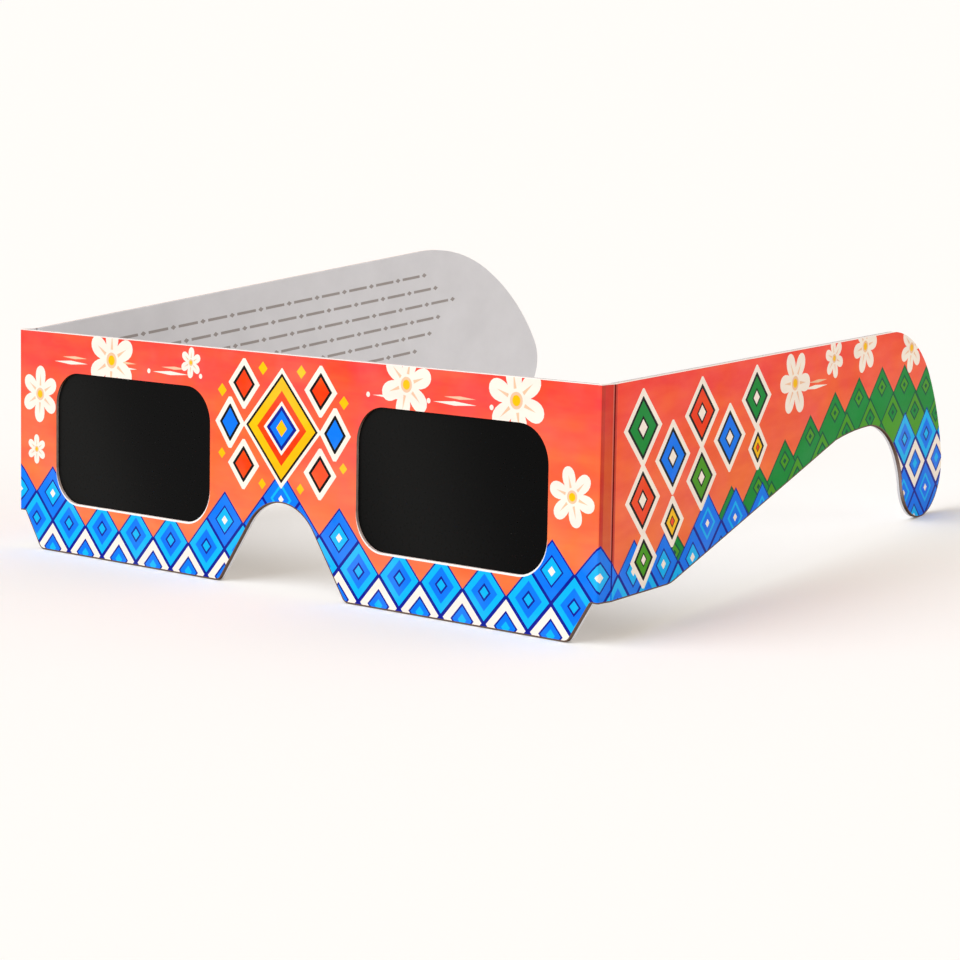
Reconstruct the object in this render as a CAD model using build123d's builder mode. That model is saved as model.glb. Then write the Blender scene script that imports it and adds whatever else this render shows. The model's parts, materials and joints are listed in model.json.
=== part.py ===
from build123d import *
from math import atan2, degrees, radians, tan
import os

os.makedirs("parts", exist_ok=True)

# Eclipse glasses of laminated card, in millimetres and degrees, standing half open on a table.
# X runs along the front to the wearer's left, Y runs back along the temples and Z is up.
# The origin is on the table, under the middle of the whole. Left and right are the wearer's.

# Card: a printed ply and a plain ply, with adhesive between them
outer_ply = 0.45
adhesive = 0.10
inner_ply = 0.45

# Front: its outline, with a crease along each side edge from its foot up
front_width = 138.0
front_height = 38.5
crease_foot = 6.4
foot_ledge = 1.2
lobe_inset = 5.8
lobe_round = 1.6
front_setback = 1.2

# Windows, from the middle of the bridge and from the front's edges, and the dark films behind them
bridge_half_width = 17.6
window_side_margin = 10.2
window_top_margin = 6.8
window_foot_margin = 8.9
window_corner = 6.0
film_lap = 3.5
film_corner = 2.0
film_gap = 0.4

# Nose notch: two straight flanks that would meet at the peak, with a round top
notch_foot_inset = 2.4
notch_peak = 21.2
notch_round = 9.5
notch_foot_round = 1.6

# Hinge strip: the narrow panel between the two creases of a corner
strip_width = 2.8
crease_gap = 0.05

# Temple: its outline, measured from the top of its crease, along and down. The right one turns
# into its hook sooner, and the curve under it is lower.
temple_length = 117.8
hook_depth = 33.9
left_crown_length = 22.4
right_crown_length = 27.4
slope_end_reach = 17.2
slope_round = 9.0
temple_setback = 0.4

# Where the arcs of each hook meet, as shares of the temple's length and the hook's depth
left_shares = ((0.95, 0.262), (0.999, 0.688), (0.925, 0.999), (0.859, 0.811), (0.735, 0.454), (0.629, 0.485))
right_shares = ((0.906, 0.175), (1.003, 0.66), (0.931, 1.006), (0.869, 0.916), (0.711, 0.648), (0.632, 0.65))

# Folds as they stand, from the flat card, and how far each temple climbs from square to its crease
left_corner_angle = 94.0
left_temple_angle = 8.0
left_rise_angle = 1.7
right_corner_angle = 88.0
right_temple_angle = 5.8
right_rise_angle = 7.8

# Folds at their limits: the right temple lies shut over the left one, so it stops short of flat
corner_limit_angle = 96.0
left_temple_limit_angle = 84.0
right_temple_limit_angle = 79.0

# What follows from the sizes above
overrun = 1.0
outline_samples = 400
sides = {"left": 1, "right": -1}
corner_angle = {"left": left_corner_angle, "right": right_corner_angle}
temple_angle = {"left": left_temple_angle, "right": right_temple_angle}
rise_angle = {"left": left_rise_angle, "right": right_rise_angle}
temple_limit_angle = {"left": left_temple_limit_angle, "right": right_temple_limit_angle}
top_run = {"left": temple_length - left_crown_length, "right": temple_length - right_crown_length}
bend_shares = {"left": left_shares, "right": right_shares}
bead_radius = outer_ply / 2
heel = bead_radius + adhesive + inner_ply
crease_reach = front_width / 2 - bead_radius
crease_height = front_height - crease_foot
lobe_reach = front_width / 2 - lobe_inset
notch_half_width = bridge_half_width - notch_foot_inset
window_width = front_width / 2 - window_side_margin - bridge_half_width
window_height = front_height - window_top_margin - window_foot_margin
window_reach = bridge_half_width + window_width / 2
window_rise = window_foot_margin + window_height / 2
film_width = window_width + 2 * film_lap
film_height = window_height + 2 * film_lap


def front_sheet(lean, shift):
    """The plane in the middle of the front's printed ply, leaned back about the heel of its lobes."""
    return Plane(Pos(0, shift, 0) * Rot(-lean, 0, 0) * Pos(0, -heel, 0) * Plane.XZ.location)


def strip_sheet(front, name):
    """The plane of a hinge strip, with its origin at the foot of the corner crease."""
    side = sides[name]
    at_crease = Pos(side * crease_reach, crease_foot, 0)
    return Plane(front.location * at_crease * Rot(0, side * corner_angle[name], 0))


def temple_sheet(front, name):
    """The plane of a temple, with its origin at the foot of the temple crease."""
    side = sides[name]
    strip = strip_sheet(front, name)
    return Plane(strip.location * Pos(side * strip_width, 0, 0) * Rot(0, side * temple_angle[name], 0))


def blade_sheet(front, name):
    """The plane of a temple's outline: the temple's own, turned by its rise at the top of the crease."""
    temple = temple_sheet(front, name)
    turn = Rot(0, 0, sides[name] * rise_angle[name])
    return Plane(temple.location * Pos(0, crease_height, 0) * turn)


def front_profile():
    """The front's outline, without its windows."""
    top, foot, ledge = front_height, crease_foot, crease_reach - foot_ledge
    with BuildSketch() as profile:
        with BuildLine():
            Polyline(
                (-crease_reach, top), (crease_reach, top), (crease_reach, foot), (ledge, foot),
                (lobe_reach, 0), (notch_half_width, 0), (0, notch_peak), (-notch_half_width, 0),
                (-lobe_reach, 0), (-ledge, foot), (-crease_reach, foot), close=True,
            )
        make_face()
        low_corners = profile.vertices().group_by(Axis.Y)[0].sort_by(Axis.X)
        fillet([low_corners[0], low_corners[-1]], lobe_round)
        low_corners = profile.vertices().group_by(Axis.Y)[0].sort_by(Axis.X)
        fillet(low_corners[1:-1], notch_foot_round)
        fillet(profile.vertices().sort_by_distance((0, notch_peak))[0], notch_round)
    return profile.sketch


def windows():
    """The two window openings, in place on the front."""
    with BuildSketch() as openings:
        with Locations((-window_reach, window_rise), (window_reach, window_rise)):
            RectangleRounded(window_width, window_height, window_corner)
    return openings.sketch


def temple_profile(name):
    """A temple's outline from the top of its crease, with a root that runs past the crease."""
    def spot(reach, depth):
        return (sides[name] * reach, -depth)

    root = -crease_height / 4
    with BuildSketch() as profile:
        with BuildLine():
            top = Line(spot(root, 0), spot(top_run[name], 0))
            bend = top
            for reach, depth in bend_shares[name]:
                onward = spot(reach * temple_length, depth * hook_depth)
                bend = TangentArc(bend @ 1, onward, tangent=bend % 1)
            slope = FilletPolyline(
                bend @ 1, spot(slope_end_reach, crease_height), spot(root, crease_height),
                radius=slope_round,
            )
            Line(slope @ 1, top @ 0)
        make_face()
    return profile.sketch


def crease_foot_plane(sheet):
    """The plane square to a crease, below its foot: x runs along the sheet and y to its inner side."""
    start = sheet.origin - sheet.y_dir * overrun
    return Plane(origin=start, x_dir=sheet.x_dir, z_dir=sheet.y_dir)


def round_edge(sheet):
    """The round edge that the printed ply has along a crease, at the sheet's origin."""
    with BuildPart() as bead:
        with BuildSketch(crease_foot_plane(sheet).offset(overrun)):
            Circle(bead_radius)
        extrude(amount=crease_height)
    return bead.part


def crease_seat(sheet, side, limit_angle):
    """What is cleared round a neighbour's round edge, and at the inner corner for the sharpest fold."""
    relief = bead_radius * tan(radians(limit_angle) / 2) + crease_gap
    with BuildPart() as seat:
        with BuildSketch(crease_foot_plane(sheet)):
            Circle(bead_radius + crease_gap)
            with Locations((side * relief / 2, (bead_radius + overrun) / 2)):
                Rectangle(relief, bead_radius + overrun)
        extrude(amount=crease_height + 2 * overrun)
    return seat.part


def outline_points(front, name):
    """Points round a temple's outline from its crease on, in space."""
    edge = temple_profile(name).face().outer_wire()
    blade = blade_sheet(front, name)
    points = [edge @ (step / outline_samples) for step in range(outline_samples)]
    return [blade.from_local_coords(point) for point in points if point.X * sides[name] > 0]


# The stand: the front leans back until the lower hook tip touches the table
upright = front_sheet(0, 0)
standing_points = [point for name in sides for point in outline_points(upright, name)]
lean = degrees(min(atan2(point.Z, point.Y) for point in standing_points))
leaned = front_sheet(lean, 0)
farthest = max(point.Y for name in sides for point in outline_points(leaned, name))
nearest = leaned.offset(bead_radius).origin.Y
front = front_sheet(lean, -(farthest + nearest) / 2)
outer_face = front.offset(bead_radius)
adhesive_face = front.offset(-bead_radius)
inner_face = adhesive_face.offset(-adhesive)

# Front, printed ply: both windows, and a round edge along each corner crease
with BuildPart() as front_outer_card:
    with BuildSketch(outer_face):
        add(front_profile())
        add(windows(), mode=Mode.SUBTRACT)
    extrude(amount=-outer_ply)
    for side in sides.values():
        add(round_edge(Plane(front.location * Pos(side * crease_reach, crease_foot, 0))))
front_outer_card.part.label = "front_outer_card"
export_step(front_outer_card.part, "parts/front_outer_card.step")

# Front, plain ply: the same outline, stopping short of both creases
with BuildPart() as front_inner_card:
    with BuildSketch(inner_face):
        add(front_profile())
        add(windows(), mode=Mode.SUBTRACT)
        Rectangle(2 * (crease_reach - front_setback), 3 * front_height, mode=Mode.INTERSECT)
    extrude(amount=-inner_ply)
front_inner_card.part.label = "front_inner_card"
export_step(front_inner_card.part, "parts/front_inner_card.step")

# Front, adhesive: cut with the plain ply, and cut out round the films
with BuildPart() as front_adhesive_layer:
    with BuildSketch(adhesive_face):
        add(front_profile())
        with Locations((-window_reach, window_rise), (window_reach, window_rise)):
            RectangleRounded(
                film_width + 2 * film_gap, film_height + 2 * film_gap, film_corner + film_gap,
                mode=Mode.SUBTRACT,
            )
        Rectangle(2 * (crease_reach - front_setback), 3 * front_height, mode=Mode.INTERSECT)
    extrude(amount=-adhesive)
front_adhesive_layer.part.label = "front_adhesive_layer"
export_step(front_adhesive_layer.part, "parts/front_adhesive_layer.step")

# Lens films: one behind each window, held between the plies
for name, side in sides.items():
    with BuildPart() as lens_film:
        with BuildSketch(adhesive_face):
            with Locations((side * window_reach, window_rise)):
                RectangleRounded(film_width, film_height, film_corner)
        extrude(amount=-adhesive)
    lens_film.part.label = f"lens_film_{name}"
    export_step(lens_film.part, f"parts/lens_film_{name}.step")

# Hinge strips: printed ply alone, seated on the front's round edge and with one of its own
for name, side in sides.items():
    strip = strip_sheet(front, name)
    with BuildPart() as hinge_strip:
        with BuildSketch(strip.offset(bead_radius)):
            with Locations((side * strip_width / 2, crease_height / 2)):
                Rectangle(strip_width, crease_height)
        extrude(amount=-outer_ply)
        add(round_edge(Plane(strip.location * Pos(side * strip_width, 0, 0))))
        add(crease_seat(strip, side, corner_limit_angle), mode=Mode.SUBTRACT)
    hinge_strip.part.label = f"hinge_strip_{name}"
    export_step(hinge_strip.part, f"parts/hinge_strip_{name}.step")

# Temples: printed ply, plain ply and adhesive, each cut square along the crease
for name, side in sides.items():
    temple = temple_sheet(front, name)
    blade = blade_sheet(front, name)
    crease_cut = Plane(origin=temple.origin, x_dir=temple.y_dir, z_dir=temple.x_dir * side)

    with BuildPart() as temple_outer_card:
        with BuildSketch(blade.offset(bead_radius)):
            add(temple_profile(name))
        extrude(amount=-outer_ply)
        split(bisect_by=crease_cut, keep=Keep.TOP)
        add(crease_seat(temple, side, temple_limit_angle[name]), mode=Mode.SUBTRACT)
    temple_outer_card.part.label = f"temple_{name}_outer_card"
    export_step(temple_outer_card.part, f"parts/temple_{name}_outer_card.step")

    with BuildPart() as temple_inner_card:
        with BuildSketch(blade.offset(-bead_radius - adhesive)):
            add(temple_profile(name))
        extrude(amount=-inner_ply)
        split(bisect_by=crease_cut.offset(temple_setback), keep=Keep.TOP)
    temple_inner_card.part.label = f"temple_{name}_inner_card"
    export_step(temple_inner_card.part, f"parts/temple_{name}_inner_card.step")

    with BuildPart() as temple_adhesive_layer:
        with BuildSketch(blade.offset(-bead_radius)):
            add(temple_profile(name))
        extrude(amount=-adhesive)
        split(bisect_by=crease_cut.offset(temple_setback), keep=Keep.TOP)
    temple_adhesive_layer.part.label = f"temple_{name}_adhesive_layer"
    export_step(temple_adhesive_layer.part, f"parts/temple_{name}_adhesive_layer.step")

print(f"lean {lean:.3f} degrees; front origin {front.origin}")
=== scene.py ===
import json
import math

import bmesh
import bpy
from mathutils import Matrix, Vector
from mathutils.geometry import delaunay_2d_cdt


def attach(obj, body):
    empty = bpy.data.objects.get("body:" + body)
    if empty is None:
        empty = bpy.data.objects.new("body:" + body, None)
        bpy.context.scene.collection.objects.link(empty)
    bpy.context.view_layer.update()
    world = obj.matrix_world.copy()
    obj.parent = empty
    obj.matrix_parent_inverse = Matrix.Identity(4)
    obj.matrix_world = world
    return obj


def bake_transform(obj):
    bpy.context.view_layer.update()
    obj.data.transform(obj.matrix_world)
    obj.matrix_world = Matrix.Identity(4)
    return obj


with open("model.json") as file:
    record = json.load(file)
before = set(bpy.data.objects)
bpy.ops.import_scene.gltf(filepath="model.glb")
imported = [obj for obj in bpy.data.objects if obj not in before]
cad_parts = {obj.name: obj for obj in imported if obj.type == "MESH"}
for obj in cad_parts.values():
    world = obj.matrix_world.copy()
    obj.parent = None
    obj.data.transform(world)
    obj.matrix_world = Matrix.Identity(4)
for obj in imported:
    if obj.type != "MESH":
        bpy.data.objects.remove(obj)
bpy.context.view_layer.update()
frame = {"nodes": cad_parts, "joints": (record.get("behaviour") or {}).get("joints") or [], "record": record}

bl_info = {
    "name": "Card eclipse glasses",
    "version": (1, 0, 0),
    "blender": (4, 5, 0),
    "location": "View3D > Sidebar > Card glasses",
    "description": "Dresses laminated card glasses with print, creases, cut edges and dark film",
    "category": "Object",
}

MM = 0.001
SIDES = {"left": 1, "right": -1}


def linear(code):
    """A linear RGBA colour from an sRGB hex value such as #FF5546."""
    shares = [int(code[i:i + 2], 16) / 255 for i in (1, 3, 5)]
    return tuple(c / 12.92 if c <= 0.04045 else ((c + 0.055) / 1.055) ** 2.4 for c in shares) + (1.0,)


def colour(label, code, description):
    """A colour property that starts at an sRGB hex value."""
    return bpy.props.FloatVectorProperty(
        name=label, description=description, subtype="COLOR", size=4, min=0, max=1, default=linear(code))


def length(label, millimetres, description):
    """A length property, kept in metres and given here in millimetres."""
    return bpy.props.FloatProperty(name=label, description=description, default=millimetres * MM, min=0,
                                   precision=5, subtype="DISTANCE", unit="LENGTH")


class GlassesInks(bpy.types.PropertyGroup):
    """Colours of the print, the board and the films."""
    coral: colour("Coral", "#FF5141", "Ground of the print along the top")
    apricot: colour("Apricot", "#FB7A4A", "Ground of the print low down")
    cream: colour("Cream", "#FFF4E6", "Blossoms, halos and pale rings")
    sand: colour("Sand", "#F7C9A4", "Veins and hearts of the blossoms")
    cyan: colour("Cyan", "#00BCFF", "Light lozenges of the lattice")
    azure: colour("Azure", "#007CFA", "Deep lozenges of the lattice")
    navy: colour("Navy", "#0D1C94", "Lines of the lattice")
    yellow: colour("Yellow", "#FFC60A", "Medallion and small lozenges")
    vermilion: colour("Vermilion", "#F6481B", "Middling lozenges")
    leaf: colour("Leaf green", "#4C9F1E", "Light teeth of the border")
    forest: colour("Forest green", "#0C8F38", "Dark teeth of the border")
    pine: colour("Pine green", "#06593A", "Lines of the border")
    black: colour("Black", "#0C0C0C", "Outlines")
    # Painted shade: dark ink in the channel of a crease
    pressed: colour("Pressed ink", "#6A0D08", "Ink in the channel of a crease")
    # Painted shade: darker ground where the print bends round a crease
    fold: colour("Fold", "#CC4534", "Ground of the print bent round a crease")
    # A lighter band of ink along the lips beside a crease's channel
    worn: colour("Worn ink", "#DA6F60", "Ink rubbed thin on the lip of a crease")
    # Painted shade: the hinge strips' ground, darker along its height and near its foot than the same print
    # elsewhere
    bent: colour("Bent ink", "#DE4439", "Ground of the hinge strips, dulled by bending")
    bent_shade_foot: colour("Bent ink, foot", "#DA6940", "Ground near the lower edge of the hinge strips")
    # Painted light and shade on the cut edges: the pale colour is a painted highlight where an edge faces up,
    # the dark one painted shade where it faces down
    core: colour("Board core", "#F4DDD2", "Cut edge of the printed ply where it faces up")
    core_painted_shade: colour("Board core below", "#4A2C1A", "Cut edge of the printed ply where it faces down")
    lining: colour("Lining board", "#E0E0E4", "Plain ply, inside the glasses")
    stripe: colour("Stripe grey", "#A49D9A", "Ornament inside the temples")
    glue: colour("Adhesive", "#66635E", "Edge of the adhesive between the plies")
    # Painted shade: a brown line along the print's downward edges
    rim: colour("Foot rim", "#6A5445", "Brown board that shows past the ink along downward edges")
    # Painted highlight: a white line along the print's top edges and under its windows
    bare: colour("Bare board", "#FFFCF6", "White surface where the print is chipped along a cut")
    film: colour("Film", "#030303", "Dark film in the windows")
    # Painted reflection: the film's colour within its slanting sheen
    sheen: colour("Film sheen", "#141413", "Film in its soft slanting sheen")
    floor: colour("Floor", "#FBFAF7", "Studio floor")


class GlassesPrint(bpy.types.PropertyGroup):
    """Sizes of the print and of the creases."""
    ink_lift: length("Ink", 0.02, "Thickness of ink and varnish on the board")
    lattice_width: length("Lattice width", 9.2, "Width of one lozenge of the lattice")
    lattice_height: length("Lattice height", 9.6, "Height of one lozenge of the lattice")
    line: length("Line", 0.3, "Width of the lines round the teeth")
    outline: length("Outline", 0.5, "Width of the black outlines")
    halo: length("Halo", 0.9, "Width of the cream halo round a lozenge")
    dot: length("Dot", 0.42, "Radius of a dot")
    dot_pitch: length("Dot pitch", 13.4, "Distance from dot to dot")
    tooth: length("Tooth", 9.2, "Distance from tooth to tooth of the border")
    lip: length("Crease lip", 0.07, "Height of the lips beside a pressed crease")
    channel: length("Crease channel", 0.16, "Half width of the channel of a pressed crease")
    ridge: length("Corner ridge", 0.09, "Height of the ridge along a folded corner")
    # Widths of the painted highlight along top edges and under the windows, and of the painted shade along
    # downward edges
    top_highlight: length("Chipped edge", 0.12, "Width of the bare line along the top edges")
    window_highlight: length("Window rim", 0.31, "Width of the bare line along the lower rims of the windows")
    foot_shade: length("Foot rim", 0.22, "Width of the brown line along downward edges")
    stripe_height: length("Stripe", 0.5, "Height of the ornament's dashes")
    stripe_pitch: length("Stripe pitch", 2.9, "Distance from row to row of the ornament")


def inks():
    return bpy.context.scene.glasses_inks


def size(name):
    """A size of the print, in millimetres."""
    return getattr(bpy.context.scene.glasses_print, name) / MM


# Sheets: where each panel of card lies, told by the places and axes of the frame's joints and mounts
MARKS = [*frame["joints"], *frame["record"]["mounts"]]
PLACES = {mark["name"]: Vector(mark["pos_m"]) for mark in MARKS}
AXES = {mark["name"]: Vector(mark["axis"]) for mark in MARKS}


class Sheet:
    """One face of a flat panel: a point on it, and the directions along, up and out of it."""

    def __init__(self, origin, along, up, out):
        self.origin, self.along, self.up, self.out = origin, along, up, out

    def point(self, x, y, lift=0.0):
        """The place x along, y up and lift out from the origin, given in millimetres."""
        return self.origin + (self.along * x + self.up * y + self.out * lift) * MM

    def spot(self, place):
        """Where a place lies on the sheet, in millimetres."""
        away = (place - self.origin) / MM
        return away.dot(self.along), away.dot(self.up)

    def lift(self, place):
        """How far a place is out of the sheet, in millimetres."""
        return (place - self.origin).dot(self.out) / MM

    def back_of(self, node):
        """The other face of the panel, as deep as the node's farthest point."""
        depth = min(self.lift(vertex.co) for vertex in frame["nodes"][node].data.vertices)
        return Sheet(self.point(0, 0, depth), self.along, self.up, -self.out)


UP = AXES["corner_crease_left"]
ACROSS = Vector((1, 0, 0))
FACE = AXES["printed_face"]


def front_sheet():
    """The printed face of the front, from the middle of its foot."""
    lobe = PLACES["lobe_edge_left"]
    foot = Vector((0, lobe.y, lobe.z))
    ply = (PLACES["printed_face"] - foot).dot(FACE)
    return Sheet(foot + FACE * ply, ACROSS, UP, FACE)


FRONT = front_sheet()
HALF_PLY = -FRONT.lift(PLACES["lobe_edge_left"])
FRONT_TOP = max(FRONT.spot(vertex.co)[1] for vertex in frame["nodes"]["front_outer_card"].data.vertices)
CREASE_REACH, CREASE_MIDDLE = FRONT.spot(PLACES["corner_crease_left"])
HALF_CREASE = FRONT_TOP - CREASE_MIDDLE


def level(direction):
    """A direction with what it has along the creases taken out."""
    return (direction - UP * direction.dot(UP)).normalized()


def strip_sheet(name):
    """The printed face of a hinge strip, from the middle of its corner crease towards the temple."""
    corner = PLACES[f"corner_crease_{name}"]
    along = level(PLACES[f"temple_crease_{name}"] - corner)
    out = along.cross(UP) * SIDES[name]
    return Sheet(corner + out * HALF_PLY * MM, along, UP, out)


def temple_sheet(name):
    """The printed face of a temple, from the middle of its crease back."""
    crease = PLACES[f"temple_crease_{name}"]
    along = level(PLACES[f"ear_rest_{name}"] - crease)
    out = along.cross(UP) * SIDES[name]
    return Sheet(crease + out * HALF_PLY * MM, along, UP, out)


def blade_sheet(name):
    """A temple's printed face, from the top of its crease and along its top edge."""
    temple = temple_sheet(name)
    up = -AXES[f"ear_rest_{name}"]
    return Sheet(temple.point(0, HALF_CREASE), up.cross(temple.out) * SIDES[name], up, temple.out)


STRIP_WIDTH = strip_sheet("left").spot(PLACES["temple_crease_left"])[0]
TEMPLE_START = CREASE_REACH + STRIP_WIDTH


# Motifs. An outline is a list of points in millimetres on a sheet, and a motif is an ink and an outline.
def circle(x, y, radius, steps):
    return [(x + radius * math.cos(2 * math.pi * k / steps), y + radius * math.sin(2 * math.pi * k / steps))
            for k in range(steps)]


def lozenge(x, y, half_width, half_height):
    return [(x + half_width, y), (x, y + half_height), (x - half_width, y), (x, y - half_height)]


def bar(left, right, foot, top):
    return [(left, foot), (right, foot), (right, top), (left, top)]


def grown_lozenge(x, y, half_width, half_height, border):
    """A lozenge with a border of even width round it, its upper and lower tips cut at 1.3 borders."""
    side = math.hypot(half_width, half_height)
    wide, high = half_width + border * side / half_height, half_height + border * side / half_width
    tip = half_height + border * 1.3
    near = wide * (1 - tip / high)
    return [(x + wide, y), (x + near, y + tip), (x - near, y + tip),
            (x - wide, y), (x - near, y - tip), (x + near, y - tip)]


def turned(motifs, angle):
    """Motifs turned clockwise about the origin."""
    c, s = math.cos(angle), math.sin(angle)
    return [(ink, [(x * c + y * s, y * c - x * s) for x, y in outline]) for ink, outline in motifs]


def moved(motifs, x, y):
    return [(ink, [(px + x, py + y) for px, py in outline]) for ink, outline in motifs]


def through(points, place):
    """The height at a place of a line through points, which are in order."""
    for (a, low), (b, high) in zip(points, points[1:]):
        if place <= b:
            return low + (high - low) * (place - a) / (b - a)
    return points[-1][1]


# Inks of each row of the lattice from the outside in, each with its share of the lozenge's size
NESTS = (
    (("navy", 1.0), ("azure", 0.92), ("cyan", 0.55), ("azure", 0.42), ("cream", 0.14)),
    (("navy", 1.0), ("cream", 0.9), ("navy", 0.54), ("azure", 0.45), ("cyan", 0.2)),
    (("navy", 1.0), ("cyan", 0.92), ("azure", 0.60), ("navy", 0.30), ("cyan", 0.20)),
    (("navy", 1.0), ("azure", 0.92), ("navy", 0.52), ("cyan", 0.44), ("cream", 0.16)),
)
# More than any panel is high and long, in millimetres
HIGHEST, LONGEST = 40, 200


def lattice(low, high, foot, crest):
    """Nested lozenges edge to edge, as high as the crest allows at each place."""
    wide, tall = size("lattice_width") / 2, size("lattice_height") / 2
    found = []
    for row in range(int((HIGHEST - foot) / tall)):
        y, nest = foot + row * tall, NESTS[row % len(NESTS)]
        for column in range(math.floor(low / wide) - 1, math.ceil(high / wide) + 2):
            x = column * wide
            if (row + column) % 2 or y > crest(x):
                continue
            found += [(ink, lozenge(x, y, wide * share, tall * share)) for ink, share in nest]
    return found


# How high the blue band rises at distances from the middle of the blank, and how high its lowest row stands
BAND_CREST = ((-4, 15.0), (0, 15.5), (14, 14.0), (22, 9.0), (36, 6.5), (52, 7.5), (60, 11.5), (66, 15.0),
              (82, 14.6), (94, 13.2), (104, 16.5), (112, 19.5), (119, 19.0), (123, 14.0), (124, -99.0))
BAND_FOOT = 0.6


def band(low, high):
    """The blue band along the foot of the whole blank, told from the middle of the front."""
    return lattice(low, high, BAND_FOOT - size("lattice_height") / 2, lambda x: through(BAND_CREST, abs(x)))


def boxed(ink, x, y, half_width, half_height):
    """A lozenge with a black outline and a cream halo, halo first."""
    outline, halo = size("outline"), size("halo")
    return (("cream", grown_lozenge(x, y, half_width, half_height, outline + halo)),
            ("black", grown_lozenge(x, y, half_width, half_height, outline)),
            (ink, lozenge(x, y, half_width, half_height)))


def halos_first(boxes):
    """Motifs of several boxed lozenges, with every halo under every outline."""
    return [box[layer] for layer in range(3) for box in boxes]


# Shares of a blossom's reach: a petal's middle, half length and half width. Its outer end swells by the last.
PETAL_MIDDLE, PETAL_HALF_LENGTH, PETAL_HALF_WIDTH, PETAL_SWELL = 0.54, 0.46, 0.27, 0.25
# The same for a vein's root, half width and tip, and for the heart's rim and middle
VEIN_ROOT, VEIN_HALF_WIDTH, VEIN_TIP, HEART_RIM, HEART_MIDDLE = 0.3, 0.05, 0.72, 0.22, 0.14


def petal(x, y, angle, reach):
    """One petal, from the heart outwards at an angle."""
    steps = 20
    c, s = math.cos(angle), math.sin(angle)
    found = []
    for k in range(steps):
        turn = 2 * math.pi * k / steps
        along = reach * (PETAL_MIDDLE - PETAL_HALF_LENGTH * math.cos(turn))
        aside = reach * PETAL_HALF_WIDTH * math.sin(turn) * (1.0 - PETAL_SWELL * math.cos(turn))
        found.append((x + along * c - aside * s, y + along * s + aside * c))
    return found


def blossom(x, y, reach, turn):
    """A blossom of six petals with veins, round a yellow heart."""
    angles = [turn + math.pi * k / 3 for k in range(6)]
    found = [("cream", petal(x, y, angle, reach)) for angle in angles]
    root, aside, tip = reach * VEIN_ROOT, reach * VEIN_HALF_WIDTH, reach * VEIN_TIP
    for angle in angles:
        c, s = math.cos(angle), math.sin(angle)
        found.append(("sand", [(x + c * root - s * aside, y + s * root + c * aside),
                               (x + c * root + s * aside, y + s * root - c * aside),
                               (x + c * tip, y + s * tip)]))
    return found + [("sand", circle(x, y, reach * HEART_RIM, 20)),
                    ("yellow", circle(x, y, reach * HEART_MIDDLE, 16))]


# The room that a streak needs before and after its middle, in radii of a dot
STREAK_BEFORE, STREAK_AFTER = 14, 9
# A streak's lozenges: ink, shift along in radii, rise in millimetres, and half width and half height in radii
STREAK = (("sand", 0, 0.9, 8, 0.62), ("cream", -2.5, 0, 11, 0.8))


def dots(low, high, foot, top, keep):
    """Small dots in a half drop pattern, and a long thin streak wherever a row has room for one."""
    pitch, radius = size("dot_pitch"), size("dot")
    found = []
    for row in range(math.floor(foot / pitch * 2), math.ceil(top / pitch * 2) + 1):
        for column in range(math.floor(low / pitch), math.ceil(high / pitch) + 1):
            x, y = (column + (row % 2) / 2) * pitch, row * pitch / 2
            if keep(x, y):
                found.append(("cream", circle(x, y, radius, 16)))
            middle = x + pitch / 2
            if keep(middle - radius * STREAK_BEFORE, y) and keep(middle + radius * STREAK_AFTER, y):
                found += [(ink, lozenge(middle + radius * shift, y + rise, radius * wide, radius * high))
                          for ink, shift, rise, wide, high in STREAK]
    return found


# Places and reach of the front's blossoms, from the middle of its foot
FRONT_BLOSSOMS = ((-63.4, 27.4, 5.0), (-43.5, 34.6, 6.2), (28.6, 35.6, 5.6), (52.0, 34.9, 6.0),
                  (63.6, 21.6, 4.6), (-22.6, 35.6, 2.6), (-64.4, 17.6, 2.6))
# The front's dots lie this close to its top edge and this far from its middle
DOT_STRIP, DOTS_START, DOTS_END = 7.5, 17.0, 60.0
# How far the medallion's middle is below the top edge
MEDALLION_DROP = 12.0
# Its lozenges from the outside in: ink, half width and half height
MEDALLION = (("cream", 9.4, 9.8), ("black", 8.6, 8.9), ("yellow", 8.0, 8.3), ("vermilion", 5.9, 6.1),
             ("cream", 4.3, 4.4), ("navy", 3.6, 3.7), ("azure", 2.8, 2.9), ("yellow", 1.3, 1.4))
# Boxed lozenges at each side of it: ink, how far aside and above, half width and half height
MEDALLION_SIDES = (("vermilion", 9.2, 6.6, 2.0, 2.3), ("azure", 12.6, 0.0, 1.9, 2.4),
                   ("vermilion", 9.2, -6.6, 2.0, 2.3))
# Small yellow lozenges at each side of it: how far aside and above, and half width
MEDALLION_SPARKS = ((4.6, -9.4, 0.9), (14.6, -5.2, 0.9), (4.6, 9.4, 1.1), (14.6, 5.2, 1.1))


def front_motifs():
    """The front's print: dots and blossoms, the band along the foot, and a medallion over the bridge."""
    def ground(x, y):
        return y > FRONT_TOP - DOT_STRIP and DOTS_START < abs(x) < DOTS_END

    motifs = dots(-CREASE_REACH, CREASE_REACH, 0, FRONT_TOP, ground)
    for x, y, reach in FRONT_BLOSSOMS:
        motifs += blossom(x, y, reach, x)
    motifs += band(-CREASE_REACH - 1, CREASE_REACH + 1)
    middle = FRONT_TOP - MEDALLION_DROP
    motifs += [(ink, lozenge(0, middle, wide, high)) for ink, wide, high in MEDALLION]
    boxes = []
    for side in (-1, 1):
        boxes += [boxed(ink, side * x, middle + y, wide, high) for ink, x, y, wide, high in MEDALLION_SIDES]
        motifs += [("yellow", lozenge(side * x, middle + y, wide, wide)) for x, y, wide in MEDALLION_SPARKS]
    return motifs + halos_first(boxes)


# Height of the border's crest at distances from a temple's crease, told from the temple's top edge
RIDGE = ((0, -30.0), (16, -25.0), (30, -21.5), (45, -18.0), (60, -13.0), (75, -8.2), (90, -6.0), (104, -6.6),
         (124, -9.5))
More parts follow.
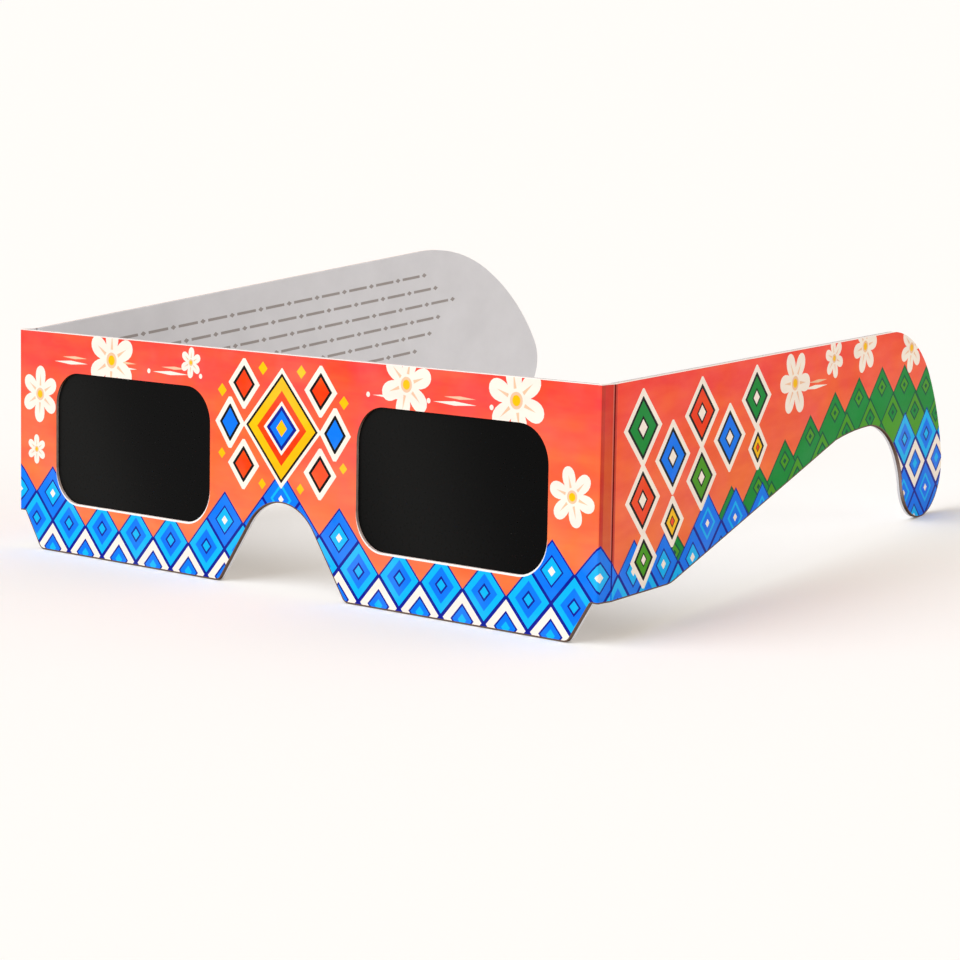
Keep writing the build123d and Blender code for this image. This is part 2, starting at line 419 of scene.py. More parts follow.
# The border's rows from the top down: drop, ink, the heart's ink, and shift in shares of a tooth
TOOTH_ROWS = ((0.0, "forest", "leaf", 0.0), (4.6, "leaf", "forest", 0.5), (9.4, "forest", "leaf", 0.0))
# How far the border runs from the crease, how far a tooth spreads down and aside, and how low its heart lies
BORDER_REACH, TOOTH_SPREAD, TOOTH_HEART = 118, 24, 3.1


def border():
    """Rows of broad pointed teeth along a temple's lower edge, in two greens."""
    pitch, line = size("tooth"), size("line")
    found = []
    for drop, ink, heart, shift in TOOTH_ROWS:
        for k in range(int(BORDER_REACH / pitch), 1, -1):
            u = (k + shift) * pitch
            v = through(RIDGE, u) - drop
            for tint, grow in (("pine", line * 1.6), (ink, 0.0)):
                left, right, low = u - TOOTH_SPREAD - grow, u + TOOTH_SPREAD + grow, v - TOOTH_SPREAD
                found.append((tint, [(left, low), (right, low), (u, v + grow)]))
            found += [(tint, lozenge(u, v - TOOTH_HEART, wide, high))
                      for tint, wide, high in (("pine", 2.0, 1.8), (heart, 1.5, 1.3), ("pine", 0.6, 0.5))]
    return found


# Places and reach of a temple's blossoms, from the top of its crease
TEMPLE_BLOSSOMS = ((58.6, -5.4, 5.4), (73.0, -2.6, 3.4), (85.0, -1.6, 4.6), (104.0, -3.4, 4.4))
# A temple's boxed lozenges: place, ink, half width and half height
JEWELS = ((8.4, -7.4, "forest", 3.9, 4.1), (8.4, -18.2, "vermilion", 3.4, 3.7),
          (8.8, -27.2, "leaf", 2.2, 2.5), (17.6, -12.8, "azure", 3.6, 3.9),
          (17.6, -22.6, "yellow", 1.8, 2.1), (26.8, -7.0, "vermilion", 3.6, 3.8),
          (26.8, -17.0, "leaf", 3.0, 3.3), (36.0, -11.8, "azure", 3.4, 3.6),
          (45.0, -6.4, "forest", 3.2, 3.4), (45.6, -14.4, "yellow", 1.5, 1.8))
# Inks inside a boxed lozenge, with their shares of its size
JEWEL_RING, JEWEL_HEART = 0.46, 0.33
# A temple's dots lie this far behind its crease, over the border, and under its top edge
DOTS_BEHIND, DOTS_OVER_BORDER, DOTS_UNDER_TOP = 50, 2.5, 1.0
# How far the blue band runs along a temple from its crease
ROOT_BAND = 54
# The hook's lattice: the stretch it is made for, where it starts, its crest, and how far it is moved
HOOK_STRETCH, HOOK_START, HOOK_CREST, HOOK_MOVE = (90, 126), 96, 19.5, (0.6, -38.4)


def temple_motifs(name):
    """A temple's print: dots, blossoms, the green border, the blue bands of root and hook, boxed lozenges."""
    def ground(u, v):
        return u > DOTS_BEHIND and through(RIDGE, u) + DOTS_OVER_BORDER < v < -DOTS_UNDER_TOP

    def hook_crest(u):
        return HOOK_CREST if u > HOOK_START else -HIGHEST

    motifs = dots(0, BORDER_REACH, -HIGHEST, 0, ground)
    for u, v, reach in TEMPLE_BLOSSOMS:
        motifs += blossom(u, v, reach, u)
    motifs += border()
    rise = blade_sheet(name).along.angle(temple_sheet(name).along)
    motifs += turned(moved(band(TEMPLE_START, TEMPLE_START + ROOT_BAND), -TEMPLE_START, -FRONT_TOP), rise)
    motifs += moved(lattice(*HOOK_STRETCH, -size("lattice_height"), hook_crest), *HOOK_MOVE)
    motifs += halos_first([boxed(ink, u, v, wide, high) for u, v, ink, wide, high in JEWELS])
    for u, v, ink, wide, high in JEWELS:
        heart = "vermilion" if ink == "yellow" else "cream"
        motifs += [("black", lozenge(u, v, wide * JEWEL_RING, high * JEWEL_RING)),
                   (heart, lozenge(u, v, wide * JEWEL_HEART, high * JEWEL_HEART))]
    return motifs


# The ornament's rows: how many, where the first starts and how far every other one is shifted
STRIPE_ROWS, STRIPE_START, STRIPE_SHIFT = 6, (10.0, -5.0), 2.6
# Where its longest rows end, and how much sooner each row further out does
STRIPE_END, STRIPE_TAPER = 94, 3.4
# From dash to dash, a dash's length, and a small lozenge's place after the dash's start and its half width
STRIPE_STEP, DASH, BEAD_PLACE, BEAD_HALF_WIDTH = 6.8, 4.4, 5.6, 0.62


def stripe_motifs():
    """Rows of dashes and small lozenges, the ornament inside a temple."""
    height, pitch = size("stripe_height"), size("stripe_pitch")
    found = []
    for row in range(STRIPE_ROWS):
        u, v = STRIPE_START[0] + STRIPE_SHIFT * (row % 2), STRIPE_START[1] - row * pitch
        while u < STRIPE_END - STRIPE_TAPER * abs(row - (STRIPE_ROWS - 1) / 2):
            found.append(("stripe", bar(u, u + DASH, v, v + height)))
            found.append(("stripe", lozenge(u + BEAD_PLACE, v + height / 2, BEAD_HALF_WIDTH, height * 0.9)))
            u += STRIPE_STEP
    return found


# Materials, each named for the real surface
def add_node(tree, kind, links=None, **settings):
    """Adds a node, sets its settings, and sets its inputs or links them."""
    node = tree.nodes.new(kind)
    for name, value in settings.items():
        setattr(node, name, value)
    for name, value in (links or {}).items():
        if isinstance(value, bpy.types.NodeSocket):
            tree.links.new(value, node.inputs[name])
        else:
            node.inputs[name].default_value = value
    return node


def start_material(name):
    """An empty node material and the object coordinates of what wears it."""
    material = bpy.data.materials.new(name)
    material.use_nodes = True
    tree = material.node_tree
    tree.nodes.clear()
    place = add_node(tree, "ShaderNodeTexCoord").outputs["Object"]
    return material, tree, place


def finish_material(tree, links):
    """Ends a material in one Principled shader with these inputs."""
    shader = add_node(tree, "ShaderNodeBsdfPrincipled", links)
    add_node(tree, "ShaderNodeOutputMaterial", {"Surface": shader.outputs["BSDF"]})


def grain(tree, place, millimetres, detail=3.0, roughness=0.55):
    """Noise whose lumps are about this many millimetres wide."""
    return add_node(tree, "ShaderNodeTexNoise", {
        "Vector": place, "Scale": 1 / (millimetres * MM), "Detail": detail, "Roughness": roughness,
    }).outputs["Fac"]


def drawn_out(tree, place, stretch):
    """Coordinates drawn out along the panels, so that noise on them makes level streaks."""
    return add_node(tree, "ShaderNodeMapping", {
        "Vector": place, "Scale": (1 / stretch, 1 / stretch, 1)}).outputs["Vector"]


def combined(tree, first, second, operation):
    """Two values put together by a Math node's operation."""
    return add_node(tree, "ShaderNodeMath", {0: first, 1: second}, operation=operation).outputs["Value"]


def blended(tree, share, first, second):
    """A colour between two, by a share from 0 to 1."""
    return add_node(tree, "ShaderNodeMix", {"Factor": share, "A": first, "B": second},
                    data_type="RGBA").outputs["Result"]


def ramp(tree, value, start, end):
    """0 up to the start, 1 from the end on, and straight between them."""
    return add_node(tree, "ShaderNodeMapRange", {
        "Value": value, "From Min": start, "From Max": end}).outputs["Result"]


def seen_rays(tree):
    """1 for rays that see a surface, straight, mirrored or through a film, and 0 for rays that light one."""
    ray = add_node(tree, "ShaderNodeLightPath").outputs
    mirrored = combined(tree, ray["Is Glossy Ray"], ray["Is Transmission Ray"], "MAXIMUM")
    return combined(tree, ray["Is Camera Ray"], mirrored, "MAXIMUM")


# Nearly all of a noise lies between these values
NOISE_LOW, NOISE_HIGH = 0.3, 0.7


def spread(tree, value, low, high):
    """A noise value mapped to a range about its middle."""
    return add_node(tree, "ShaderNodeMapRange", {
        "Value": value, "From Min": NOISE_LOW, "From Max": NOISE_HIGH, "To Min": low, "To Max": high,
    }).outputs["Result"]


def toned(tree, tint, value, hue=0.5, saturation=1.0):
    """A colour shifted in value, and in hue and saturation where they are given."""
    return add_node(tree, "ShaderNodeHueSaturation", {
        "Color": tint, "Hue": hue, "Saturation": saturation, "Value": value}).outputs["Color"]


def bumped(tree, height, strength, millimetres, **links):
    """Normals of a surface raised by a height of up to this many millimetres."""
    return add_node(tree, "ShaderNodeBump", {
        "Height": height, "Strength": strength, "Distance": millimetres * MM, **links}).outputs["Normal"]


# The ground's foot ink gives way between two heights in millimetres, and noise moves both by the third
GROUND_FOOT, GROUND_TOP, GROUND_WANDER = 12, 37, 6


def printed_board(name, tint, foot_ink=None):
    """Offset print on coated board under satin varnish: level brush strokes, soft shine and a slight sag."""
    material, tree, place = start_material(name)
    wash = grain(tree, place, 11.0)
    stroke = grain(tree, drawn_out(tree, place, 4.0), 3.2)
    if foot_ink is not None:
        height = add_node(tree, "ShaderNodeSeparateXYZ", {"Vector": place}).outputs["Z"]
        wander = spread(tree, wash, -GROUND_WANDER * MM, GROUND_WANDER * MM)
        rise = ramp(tree, combined(tree, height, wander, "ADD"), GROUND_FOOT * MM, GROUND_TOP * MM)
        tint = blended(tree, rise, foot_ink, tint)
    tint = toned(tree, tint, spread(tree, stroke, 0.955, 1.035), hue=spread(tree, stroke, 0.4955, 0.5045),
                 saturation=spread(tree, wash, 1.03, 0.97))
    fibre = grain(tree, place, 0.6)
    sag = bumped(tree, grain(tree, place, 16.0, 1.0), 0.3, 0.4)
    finish_material(tree, {
        "Base Color": tint, "Roughness": spread(tree, fibre, 0.40, 0.50), "IOR": 1.5,
        "Specular IOR Level": 0.07, "Normal": bumped(tree, fibre, 0.16, 0.02, Normal=sag)})
    return material


def board_core(name, out):
    """Bleached board: its back white and matt, its die cut edges brown fibre, with painted shade where they
    face down and a painted highlight where they face up.
    """
    material, tree, place = start_material(name)
    normal = add_node(tree, "ShaderNodeTexCoord").outputs["Normal"]
    streak = grain(tree, place, 0.9, 4.0)
    height = add_node(tree, "ShaderNodeSeparateXYZ", {"Vector": normal}).outputs["Z"]
    # Painted light and shade: the edge colour runs from dark where its normal points down to pale where it
    # points up
    edge = blended(tree, ramp(tree, height, -0.7, 0.95), inks().core_painted_shade, inks().core)
    facing = add_node(tree, "ShaderNodeVectorMath", {0: normal, 1: -out}, operation="DOT_PRODUCT")
    back = ramp(tree, facing.outputs["Value"], 0.8, 0.95)
    tint = blended(tree, back, toned(tree, edge, spread(tree, streak, 0.8, 1.12)),
                   toned(tree, inks().lining, spread(tree, streak, 0.93, 1.0)))
    finish_material(tree, {"Base Color": tint, "Roughness": 0.85, "Specular IOR Level": 0.2,
                           "Normal": bumped(tree, streak, 0.4, 0.04)})
    return material


def lining_board(name, ink):
    """Uncoated white-lined board, unprinted or printed grey: matt, with fine fibre and a faint cloudiness."""
    material, tree, place = start_material(name)
    fibre = grain(tree, place, 0.6, 4.0)
    cloud = grain(tree, place, 7.0)
    tint = toned(tree, ink, spread(tree, cloud, 0.96, 1.03), saturation=spread(tree, fibre, 0.9, 1.1))
    finish_material(tree, {"Base Color": tint, "Roughness": spread(tree, fibre, 0.7, 0.82),
                           "Specular IOR Level": 0.25, "Normal": bumped(tree, fibre, 0.3, 0.03)})
    return material


def dried_adhesive():
    """Dispersion glue between the plies: a dull grey line with gaps that show darker."""
    material, tree, place = start_material("dried_lamination_glue")
    tint = toned(tree, inks().glue, spread(tree, grain(tree, place, 1.6), 0.5, 1.15))
    finish_material(tree, {"Base Color": tint, "Roughness": 0.6})
    return material


# The film's painted sheen, a lighter band in its colour: from band to band, one to a window, and a band's
# place and slant in degrees
SHEEN_PITCH, SHEEN_PLACE, SHEEN_SLANT = 76.4, 4, 24


def black_polymer_film():
    """Carbon-filled polymer film, cast smooth but never quite flat: near black, with a slanting soft sheen
    painted into its colour.
    """
    material, tree, place = start_material("black_polymer_film")
    slant = add_node(tree, "ShaderNodeMapping", {
        "Vector": place, "Rotation": (0, math.radians(SHEEN_SLANT), 0),
        "Location": (SHEEN_PLACE * MM, 0, 0)}).outputs["Vector"]
    # A wave texture at a scale of 1 has a band every pi / 10
    band = add_node(tree, "ShaderNodeTexWave", {
        "Vector": slant, "Scale": math.pi / 10 / (SHEEN_PITCH * MM), "Distortion": 0.0},
        wave_type="BANDS", bands_direction="X").outputs["Fac"]
    wave = grain(tree, place, 26.0, 0.0, 0.3)
    glow = combined(tree, band, spread(tree, wave, 2.2, 3.8), "POWER")
    # Painted sheen: the film's colour is lighter within the slanting band
    tint = blended(tree, glow, inks().film, inks().sheen)
    dust = grain(tree, place, 0.5, 2.0)
    finish_material(tree, {"Base Color": tint, "Roughness": spread(tree, dust, 0.26, 0.32),
                           "IOR": 1.5, "Specular IOR Level": 0.04, "Normal": bumped(tree, wave, 0.35, 1.0)})
    return material


def ink_material(ink):
    """The material of an ink, made once."""
    name = "printed_" + ink
    found = bpy.data.materials.get(name)
    if found:
        return found
    if ink == "ground":
        return printed_board(name, inks().coral, inks().apricot)
    # The hinge strips' ground, with painted shade
    if ink == "bent":
        return printed_board(name, inks().bent, inks().bent_shade_foot)
    if ink == "stripe":
        return lining_board(name, inks().stripe)
    return printed_board(name, getattr(inks(), ink))


# Pieces
# Points of a mesh and corners of motifs closer than these are one, and a face this far from a sheet is in it
SAME_POINT, SAME_CORNER, IN_SHEET = 0.001, 0.0001, 0.005


def face_loops(node, sheet):
    """Outlines of the node's face that lies in the sheet, outermost first, in millimetres."""
    net = bmesh.new()
    net.from_mesh(frame["nodes"][node].data)
    bmesh.ops.remove_doubles(net, verts=net.verts, dist=SAME_POINT * MM)
    flat = {face for face in net.faces
            if face.normal.dot(sheet.out) > 0.99 and abs(sheet.lift(face.calc_center_median())) < IN_SHEET}
    rim = [edge for edge in net.edges if sum(face in flat for face in edge.link_faces) == 1]
    beside = {}
    for edge in rim:
        for vertex in edge.verts:
            beside.setdefault(vertex, []).append(edge.other_vert(vertex))
    loops = []
    while beside:
        start = next(iter(beside))
        loop, vertex = [], start
        while vertex in beside:
            loop.append(vertex)
            ahead = beside.pop(vertex)
            vertex = next((other for other in ahead if other in beside), start)
        loops.append([sheet.spot(vertex.co) for vertex in loop])
    net.free()
    if not loops:
        raise RuntimeError(f"{node} has no face in the sheet")
    return sorted(loops, key=lambda loop: -abs(area(loop)))


def area(loop):
    """Signed area of an outline, positive where it runs anticlockwise."""
    return sum(a[0] * b[1] - b[0] * a[1] for a, b in zip(loop, loop[1:] + loop[:1])) / 2


def regions(loops, motifs, ground):
    """Cuts a panel's outline by its motifs: corner spots, and faces with the ink each one wears.

    A later motif lies over an earlier one. The first outline is the panel's own, the rest are its windows.
    """
    points, rings = [], []
    for outline in loops + [outline for ink, outline in motifs]:
        ring = outline if area(outline) > 0 else outline[::-1]
        rings.append(list(range(len(points), len(points) + len(ring))))
        points += [Vector(point) for point in ring]
    spots, _, faces, _, _, owners = delaunay_2d_cdt(points, [], rings, 1, SAME_CORNER, True)
    found = []
    for face, inside in zip(faces, owners):
        if 0 not in inside or any(hole in inside for hole in range(1, len(loops))):
            continue
        top = max(inside)
        ink = motifs[top - len(loops)][0] if top >= len(loops) else ground
        if ink:
            found.append((face, ink))
    return spots, found


def skin(name, spots, faces, place, flat=True):
    """A thin closed skin of ink over regions.

    place turns a spot into a point, on the skin at a lift of 1 and under it at 0.
    """
    used = sorted({ink for face, ink in faces})
    net = bmesh.new()
    foot = net.verts.layers.float_vector.new("foot")
    corners = {}
    for face, ink in faces:
        for k in face:
            if k not in corners:
                corners[k] = net.verts.new(place(spots[k].x, spots[k].y, 1.0))
                corners[k][foot] = place(spots[k].x, spots[k].y, 0.0)
        net.faces.new([corners[k] for k in face]).material_index = used.index(ink)
    if flat:
        bmesh.ops.dissolve_limit(net, angle_limit=math.radians(1), verts=net.verts, edges=net.edges,
                                 delimit={"MATERIAL"})
    tops = net.faces[:]
    walls = [(loop.vert, loop.link_loop_next.vert, face.material_index)
             for face in tops for loop in face.loops if len(loop.edge.link_faces) == 1]
    low = {vertex: net.verts.new(vertex[foot]) for vertex in net.verts[:]}
    for face in tops:
        net.faces.new([low[vertex] for vertex in reversed(face.verts)]).material_index = face.material_index
    for a, b, index in walls:
        net.faces.new((b, a, low[a], low[b])).material_index = index
    net.verts.layers.float_vector.remove(foot)
    bmesh.ops.recalc_face_normals(net, faces=net.faces)
    mesh = bpy.data.meshes.new(name)
    net.to_mesh(mesh)
    net.free()
    for ink in used:
        mesh.materials.append(ink_material(ink))
    piece = bpy.data.objects.new(name, mesh)
    bpy.context.scene.collection.objects.link(piece)
    return piece


# An anticlockwise outline faces down where it runs at least this much to the right
DOWNWARD = 0.3


def chipped(loops, top):
    """Painted shade as brown lines along a panel's downward edges, and painted highlight as white lines along
    its top edge and under its windows.
    """
    top_highlight = top - size("top_highlight")
    found = []
    outline = [Vector(point) for point in (loops[0] if area(loops[0]) > 0 else loops[0][::-1])]
    for start, stop in zip(outline, outline[1:] + outline[:1]):
        run = (stop - start).normalized()
        # Painted shade along each edge that faces down
        if run.x > DOWNWARD:
            inward = Vector((-run.y, run.x)) * size("foot_shade")
            found.append(("rim", [tuple(spot) for spot in (start, stop, stop + inward, start + inward)]))
    # Painted highlight along the top edge and under the windows
    found.append(("bare", bar(-LONGEST, LONGEST, top_highlight, top + 1)))
    return found + [("bare", [(x, y - size("window_highlight")) for x, y in loop]) for loop in loops[1:]]


def printed_skin(name, node, sheet, motifs, body, ground="ground", top=None):
    """Ink over one face of a panel, which rides on the panel's body. With a top it gets painted highlight and
    painted shade along its edges.
    """
    loops = face_loops(node, sheet)
    if top is not None:
        motifs = motifs + chipped(loops, top)
    spots, faces = regions(loops, motifs, ground)
    lift = size("ink_lift")
    piece = skin(name, spots, faces, lambda x, y, up: sheet.point(x, y, lift * up))
    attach(piece, body)


def creased_skin(name, stations, ends, shades):
    """Ink round a crease. Each station is (distance, point at mid crease, way out, lift), in order.

    Distances are from the corner crease, and shades names those between which inks are changed.
    """
    def place(x, y, up):
        for (a, start, way, lift), (b, stop, onward, rise) in zip(stations, stations[1:]):
            if x <= b + SAME_CORNER:
                break
        share = (x - a) / (b - a)
        point = start.lerp(stop, share)
        out = way.lerp(onward, share).normalized()
        return point + (UP * (y - CREASE_MIDDLE) + out * (lift + (rise - lift) * share) * up) * MM

    low, high = stations[0][0], stations[-1][0]
    foot, top = CREASE_MIDDLE - HALF_CREASE, FRONT_TOP
    outline = bar(low, high, foot, top)
    cuts = [("ground", bar(a[0], b[0], foot, top)) for a, b in zip(stations, stations[1:])]
    motifs = moved(band(CREASE_REACH + low, CREASE_REACH + high), -CREASE_REACH, 0)
    spots, faces = regions([outline], cuts + motifs + chipped([outline], top), "ground")
    inked = []
    for face, ink in faces:
        middle = sum(spots[k].x for k in face) / len(face)
        for start, stop, change in shades:
            if start < middle < stop:
                ink = change.get(ink, ink)
        inked.append((face, ink))
    piece = skin(name, spots, inked, place, flat=False)
    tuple(ends[0])
    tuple(ends[1])
    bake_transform(piece)


def dress(nodes, material):
    """Gives CAD nodes one material all over."""
    for name in nodes:
        mesh = frame["nodes"][name].data
        mesh.materials.clear()
        mesh.materials.append(material)


# Operators, one for each piece or group of like pieces and one for the stage
class GLASSES_OT_board(bpy.types.Operator):
    """Dress the plies and the adhesive between them as cut board"""
    bl_idname = "glasses.board"
    bl_label = "Board and adhesive"

    def execute(self, context):
        panels = ["front"] + [f"temple_{name}" for name in SIDES]
        dress(["front_outer_card"], board_core("front_board_core", FRONT.out))
        for name in SIDES:
            dress([f"hinge_strip_{name}"], board_core(f"strip_{name}_board_core", strip_sheet(name).out))
            dress([f"temple_{name}_outer_card"],
                  board_core(f"temple_{name}_board_core", temple_sheet(name).out))
        dress([f"{panel}_inner_card" for panel in panels], lining_board("white_lined_board", inks().lining))
        dress([f"{panel}_adhesive_layer" for panel in panels], dried_adhesive())
        return {"FINISHED"}


class GLASSES_OT_films(bpy.types.Operator):
    """Dress both lens films as black polymer"""
    bl_idname = "glasses.films"
    bl_label = "Lens films"

    def execute(self, context):
        dress([f"lens_film_{name}" for name in SIDES], black_polymer_film())
        return {"FINISHED"}


class GLASSES_OT_front_print(bpy.types.Operator):
    """Print the face of the front"""
    bl_idname = "glasses.front_print"
    bl_label = "Front print"

    def execute(self, context):
        printed_skin("front_print", "front_outer_card", FRONT, front_motifs(), "front", top=FRONT_TOP)
        return {"FINISHED"}


class GLASSES_OT_temple_prints(bpy.types.Operator):
    """Print the outer face of both temples"""
    bl_idname = "glasses.temple_prints"
    bl_label = "Temple prints"

    def execute(self, context):
        for name in SIDES:
            printed_skin(f"temple_{name}_print", f"temple_{name}_outer_card", blade_sheet(name),
                         temple_motifs(name), f"temple_{name}", top=0)
        return {"FINISHED"}


class GLASSES_OT_temple_ornaments(bpy.types.Operator):
    """Stripe the inner face of both temples"""
    bl_idname = "glasses.temple_ornaments"
    bl_label = "Temple ornaments"

    def execute(self, context):
        for name in SIDES:
            node = f"temple_{name}_inner_card"
            printed_skin(f"temple_{name}_ornament", node, blade_sheet(name).back_of(node), stripe_motifs(),
                         f"temple_{name}", ground=None)
        return {"FINISHED"}


# A corner print's shoulder, foot and end, in millimetres from the bend, and the steps round it
CORNER_SHOULDER, CORNER_FOOT, CORNER_END, CORNER_STEPS = 0.25, 0.6, 0.9, 8
# The shoulder's lift as a share of the ridge's, and the foot's in layers of ink
SHOULDER_SHARE, FOOT_LAYERS = 0.8, 1.4


class GLASSES_OT_corner_prints(bpy.types.Operator):
    """Carry the print round both corners, as far as the middle of the hinge strips"""
    bl_idname = "glasses.corner_prints"
    bl_label = "Corner prints"

    def execute(self, context):
        ink, ridge = size("ink_lift"), size("ridge")
        foot, shoulder = (CORNER_FOOT, ink * FOOT_LAYERS), (CORNER_SHOULDER, ridge * SHOULDER_SHARE)
        for name, side in SIDES.items():
            strip = strip_sheet(name)
            axis = PLACES[f"corner_crease_{name}"]
            turn = FRONT.out.angle(strip.out)
            # The arc takes up print, so the print beside it is squeezed as much
            half_arc = HALF_PLY * turn / 2
            squeeze = CORNER_END / (CORNER_END + half_arc)
            start = axis + FRONT.out * HALF_PLY * MM
            stations = [(-(x + half_arc) * squeeze, start - ACROSS * side * x * MM, FRONT.out, lift)
                        for x, lift in ((CORNER_END, ink / 2), foot, shoulder)]
            for k in range(CORNER_STEPS + 1):
                way = Matrix.Rotation(turn * k / CORNER_STEPS * side, 3, UP) @ FRONT.out
                place = (2 * k / CORNER_STEPS - 1) * half_arc * squeeze
                stations.append((place, axis + way * HALF_PLY * MM, way, ridge))
            stations += [((x + half_arc) * squeeze, strip.point(x, 0), strip.out, lift)
                         for x, lift in (shoulder, foot, (CORNER_END, ink))]
            bend_end = stations[-2][0]
            stations.append((STRIP_WIDTH / 2, strip.point(STRIP_WIDTH / 2, 0), strip.out, ink))
            # Painted shade: darker ground on the strip just past the bend, and a little less dark over the
            # rest of it
            creased_skin(f"corner_print_{name}", stations,
                         (stations[2][1], strip.point(CORNER_SHOULDER, 0)),
                         ((0.0, bend_end, {"ground": "fold"}), (bend_end, STRIP_WIDTH, {"ground": "bent"})))
        return {"FINISHED"}


# A temple crease's lips end, its slopes meet the card and its print ends this far from its middle
LIP_END, SLOPE_END, CREASE_END = 0.42, 0.75, 1.0
# The channel's floor as a share of its half width, and the thin ink in it as a share of the ink elsewhere
CHANNEL_FLOOR, CHANNEL_INK = 0.55, 0.4


class GLASSES_OT_crease_prints(bpy.types.Operator):
    """Carry the print over both temple creases, pressed in by the scoring rule"""
    bl_idname = "glasses.crease_prints"
    bl_label = "Temple crease prints"

    def execute(self, context):
        ink, lip, channel = size("ink_lift"), size("lip"), size("channel")
        floor, floor_ink = channel * CHANNEL_FLOOR, ink * CHANNEL_INK
        # Painted shade in the channel: each ink there is swapped for a darker one
        pressed = {"ground": "pressed", "cream": "sand", "cyan": "azure", "azure": "navy"}
        crease = STRIP_WIDTH
        near = ((crease / 2, ink), (crease - SLOPE_END, ink), (crease - LIP_END, lip),
                (crease - channel, lip), (crease - floor, floor_ink))
        far = ((floor, floor_ink), (channel, lip), (LIP_END, lip), (SLOPE_END, ink * FOOT_LAYERS),
               (CREASE_END, ink / 2))
        # Painted shade along the strip, a lighter band on the lips, painted shade in the channel and painted
        # shade just past it
        shades = ((0.0, crease - LIP_END, {"ground": "bent"}),
                  (crease - LIP_END, crease - channel, {"ground": "worn"}),
                  (crease - channel, crease + channel, pressed),
                  (crease + channel, crease + SLOPE_END, {"ground": "fold"}))
        for name in SIDES:
            strip, temple = strip_sheet(name), temple_sheet(name)
            stations = [(x, strip.point(x, 0), strip.out, lift) for x, lift in near]
            stations += [(crease + x, temple.point(x, 0), temple.out, lift) for x, lift in far]
            creased_skin(f"crease_print_{name}", stations,
                         (stations[2][1], stations[-3][1]), shades)
        return {"FINISHED"}


# The camera, as fitted to the photograph: its place in millimetres across, back and up from the middle of the
# front's foot, and its turns in yaw, pitch and roll
CAMERA_PLACE = (354.7, -318.2, 74.7)
CAMERA_TURNS = tuple(math.radians(angle) for angle in (-44.25, 6.72, 0.95))
FOCAL_PIXELS = 2971
FRAME_PIXELS = 960
SENSOR = 36.0


def set_camera():
    """Places the camera at the photograph's viewing angle."""
    back = -FRONT.out
    yaw, pitch, roll = CAMERA_TURNS
    ahead = Vector((math.sin(yaw) * math.cos(pitch), math.cos(yaw) * math.cos(pitch), -math.sin(pitch)))
    flat = Vector((math.cos(yaw), -math.sin(yaw), 0))
    above = flat.cross(ahead)
    right = flat * math.cos(roll) + above * math.sin(roll)
    above = above * math.cos(roll) - flat * math.sin(roll)
    axes = Matrix((ACROSS, back, UP)).transposed() @ Matrix((right, above, -ahead)).transposed()
    x, y, z = CAMERA_PLACE
    place = FRONT.origin + (ACROSS * x + back * y + UP * z) * MM
    lens = bpy.data.cameras.new("camera")
    lens.sensor_width = SENSOR
    lens.lens = SENSOR * FOCAL_PIXELS / FRAME_PIXELS
    lens.clip_start = 0.01
    camera = bpy.data.objects.new("camera", lens)
    camera.matrix_world = Matrix.Translation(place) @ axes.to_4x4()
    bpy.context.scene.collection.objects.link(camera)
    bpy.context.scene.camera = camera


# Lamps: strength, how many degrees wide each looks, tint, and the way it shines
LAMPS = {"key": (1.74, 66, (0.97, 1.05, 1.18), (0.30, 0.68, -0.72)),
         "fill": (0.55, 50, (0.96, 1.02, 1.12), (-0.87, -0.45, -0.2))}
# The world's strength and tint where it lights, and where it is seen
WORLD_LIGHT, WORLD_LIGHT_TINT = 0.58, (1, 0.89, 0.775, 1)
WORLD_SEEN, WORLD_SEEN_TINT = 1.0, (0.99, 0.983, 0.95, 1)
# How far the floor reaches each way, in metres, and the light it adds where seen, to meet the world
FLOOR_REACH, FLOOR_GLOW = 40, 0.066


def add_sun(name, strength, angle, tint, way):
    """A soft distant lamp, this many degrees wide, that shines this way."""
    light = bpy.data.lights.new(name, "SUN")
    light.energy = strength
    light.angle = math.radians(angle)
    light.color = tint
    lamp = bpy.data.objects.new(name, light)
    lamp.rotation_euler = Vector(way).to_track_quat("-Z", "Y").to_euler()
    bpy.context.scene.collection.objects.link(lamp)


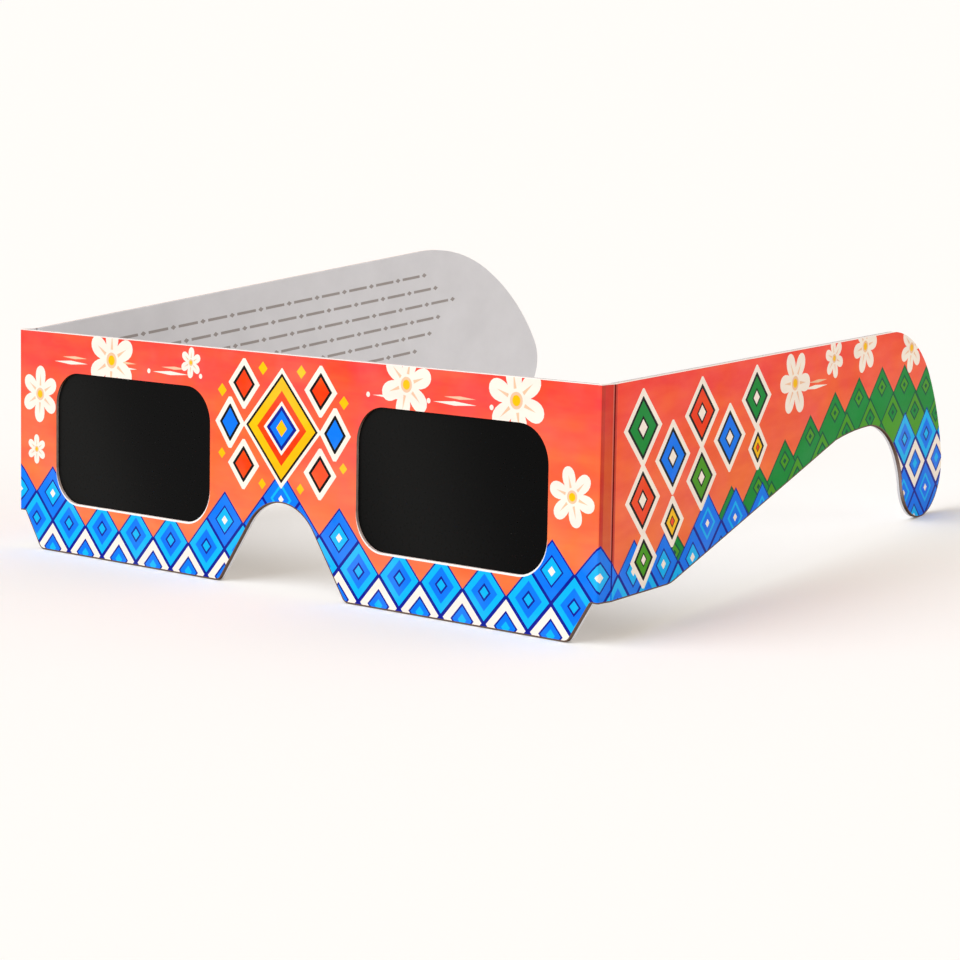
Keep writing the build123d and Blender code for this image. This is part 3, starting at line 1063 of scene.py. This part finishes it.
class GLASSES_OT_stage(bpy.types.Operator):
    """Set the floor, the light and the camera"""
    bl_idname = "glasses.stage"
    bl_label = "Stage"

    def execute(self, context):
        set_camera()
        # Seamless white paper: matt, and as bright to the eye as the world behind it
        material, tree, _ = start_material("white_paper_floor")
        glow = combined(tree, seen_rays(tree), FLOOR_GLOW, "MULTIPLY")
        finish_material(tree, {"Base Color": inks().floor, "Roughness": 0.9, "Specular IOR Level": 0.0,
                               "Emission Color": (1, 1, 1, 1), "Emission Strength": glow})
        net = bmesh.new()
        bmesh.ops.create_grid(net, x_segments=1, y_segments=1, size=FLOOR_REACH)
        mesh = bpy.data.meshes.new("floor")
        net.to_mesh(mesh)
        net.free()
        mesh.materials.append(material)
        floor = bpy.data.objects.new("floor", mesh)
        context.scene.collection.objects.link(floor)
        world = bpy.data.worlds.new("studio")
        world.use_nodes = True
        tree = world.node_tree
        tree.nodes.clear()
        seen = seen_rays(tree)
        strength = add_node(tree, "ShaderNodeMapRange", {
            "Value": seen, "To Min": WORLD_LIGHT, "To Max": WORLD_SEEN}).outputs["Result"]
        tint = blended(tree, seen, WORLD_LIGHT_TINT, WORLD_SEEN_TINT)
        sky = add_node(tree, "ShaderNodeBackground", {"Color": tint, "Strength": strength})
        add_node(tree, "ShaderNodeOutputWorld", {"Surface": sky.outputs["Background"]})
        context.scene.world = world
        for name, lamp in LAMPS.items():
            add_sun(name, *lamp)
        context.scene.view_settings.view_transform = "Standard"
        return {"FINISHED"}


class GLASSES_PT_panel(bpy.types.Panel):
    """The sidebar panel with the steps, the inks and the sizes."""
    bl_label = "Card glasses"
    bl_idname = "GLASSES_PT_panel"
    bl_space_type = "VIEW_3D"
    bl_region_type = "UI"
    bl_category = "Card glasses"

    def draw(self, context):
        for step in STEPS:
            self.layout.operator(step.bl_idname)
        for group in (context.scene.glasses_inks, context.scene.glasses_print):
            box = self.layout.box()
            for name in group.bl_rna.properties.keys():
                if name not in {"rna_type", "name"}:
                    box.prop(group, name)


STEPS = (GLASSES_OT_stage, GLASSES_OT_board, GLASSES_OT_films, GLASSES_OT_front_print,
         GLASSES_OT_temple_prints, GLASSES_OT_temple_ornaments, GLASSES_OT_corner_prints,
         GLASSES_OT_crease_prints)
CLASSES = (GlassesInks, GlassesPrint) + STEPS + (GLASSES_PT_panel,)


def register():
    for item in CLASSES:
        bpy.utils.register_class(item)
    bpy.types.Scene.glasses_inks = bpy.props.PointerProperty(type=GlassesInks)
    bpy.types.Scene.glasses_print = bpy.props.PointerProperty(type=GlassesPrint)


def unregister():
    del bpy.types.Scene.glasses_inks
    del bpy.types.Scene.glasses_print
    for item in reversed(CLASSES):
        bpy.utils.unregister_class(item)


def main():
    register()
    for step in STEPS:
        group, name = step.bl_idname.split(".")
        getattr(getattr(bpy.ops, group), name)()


if __name__ == "__main__":
    main()
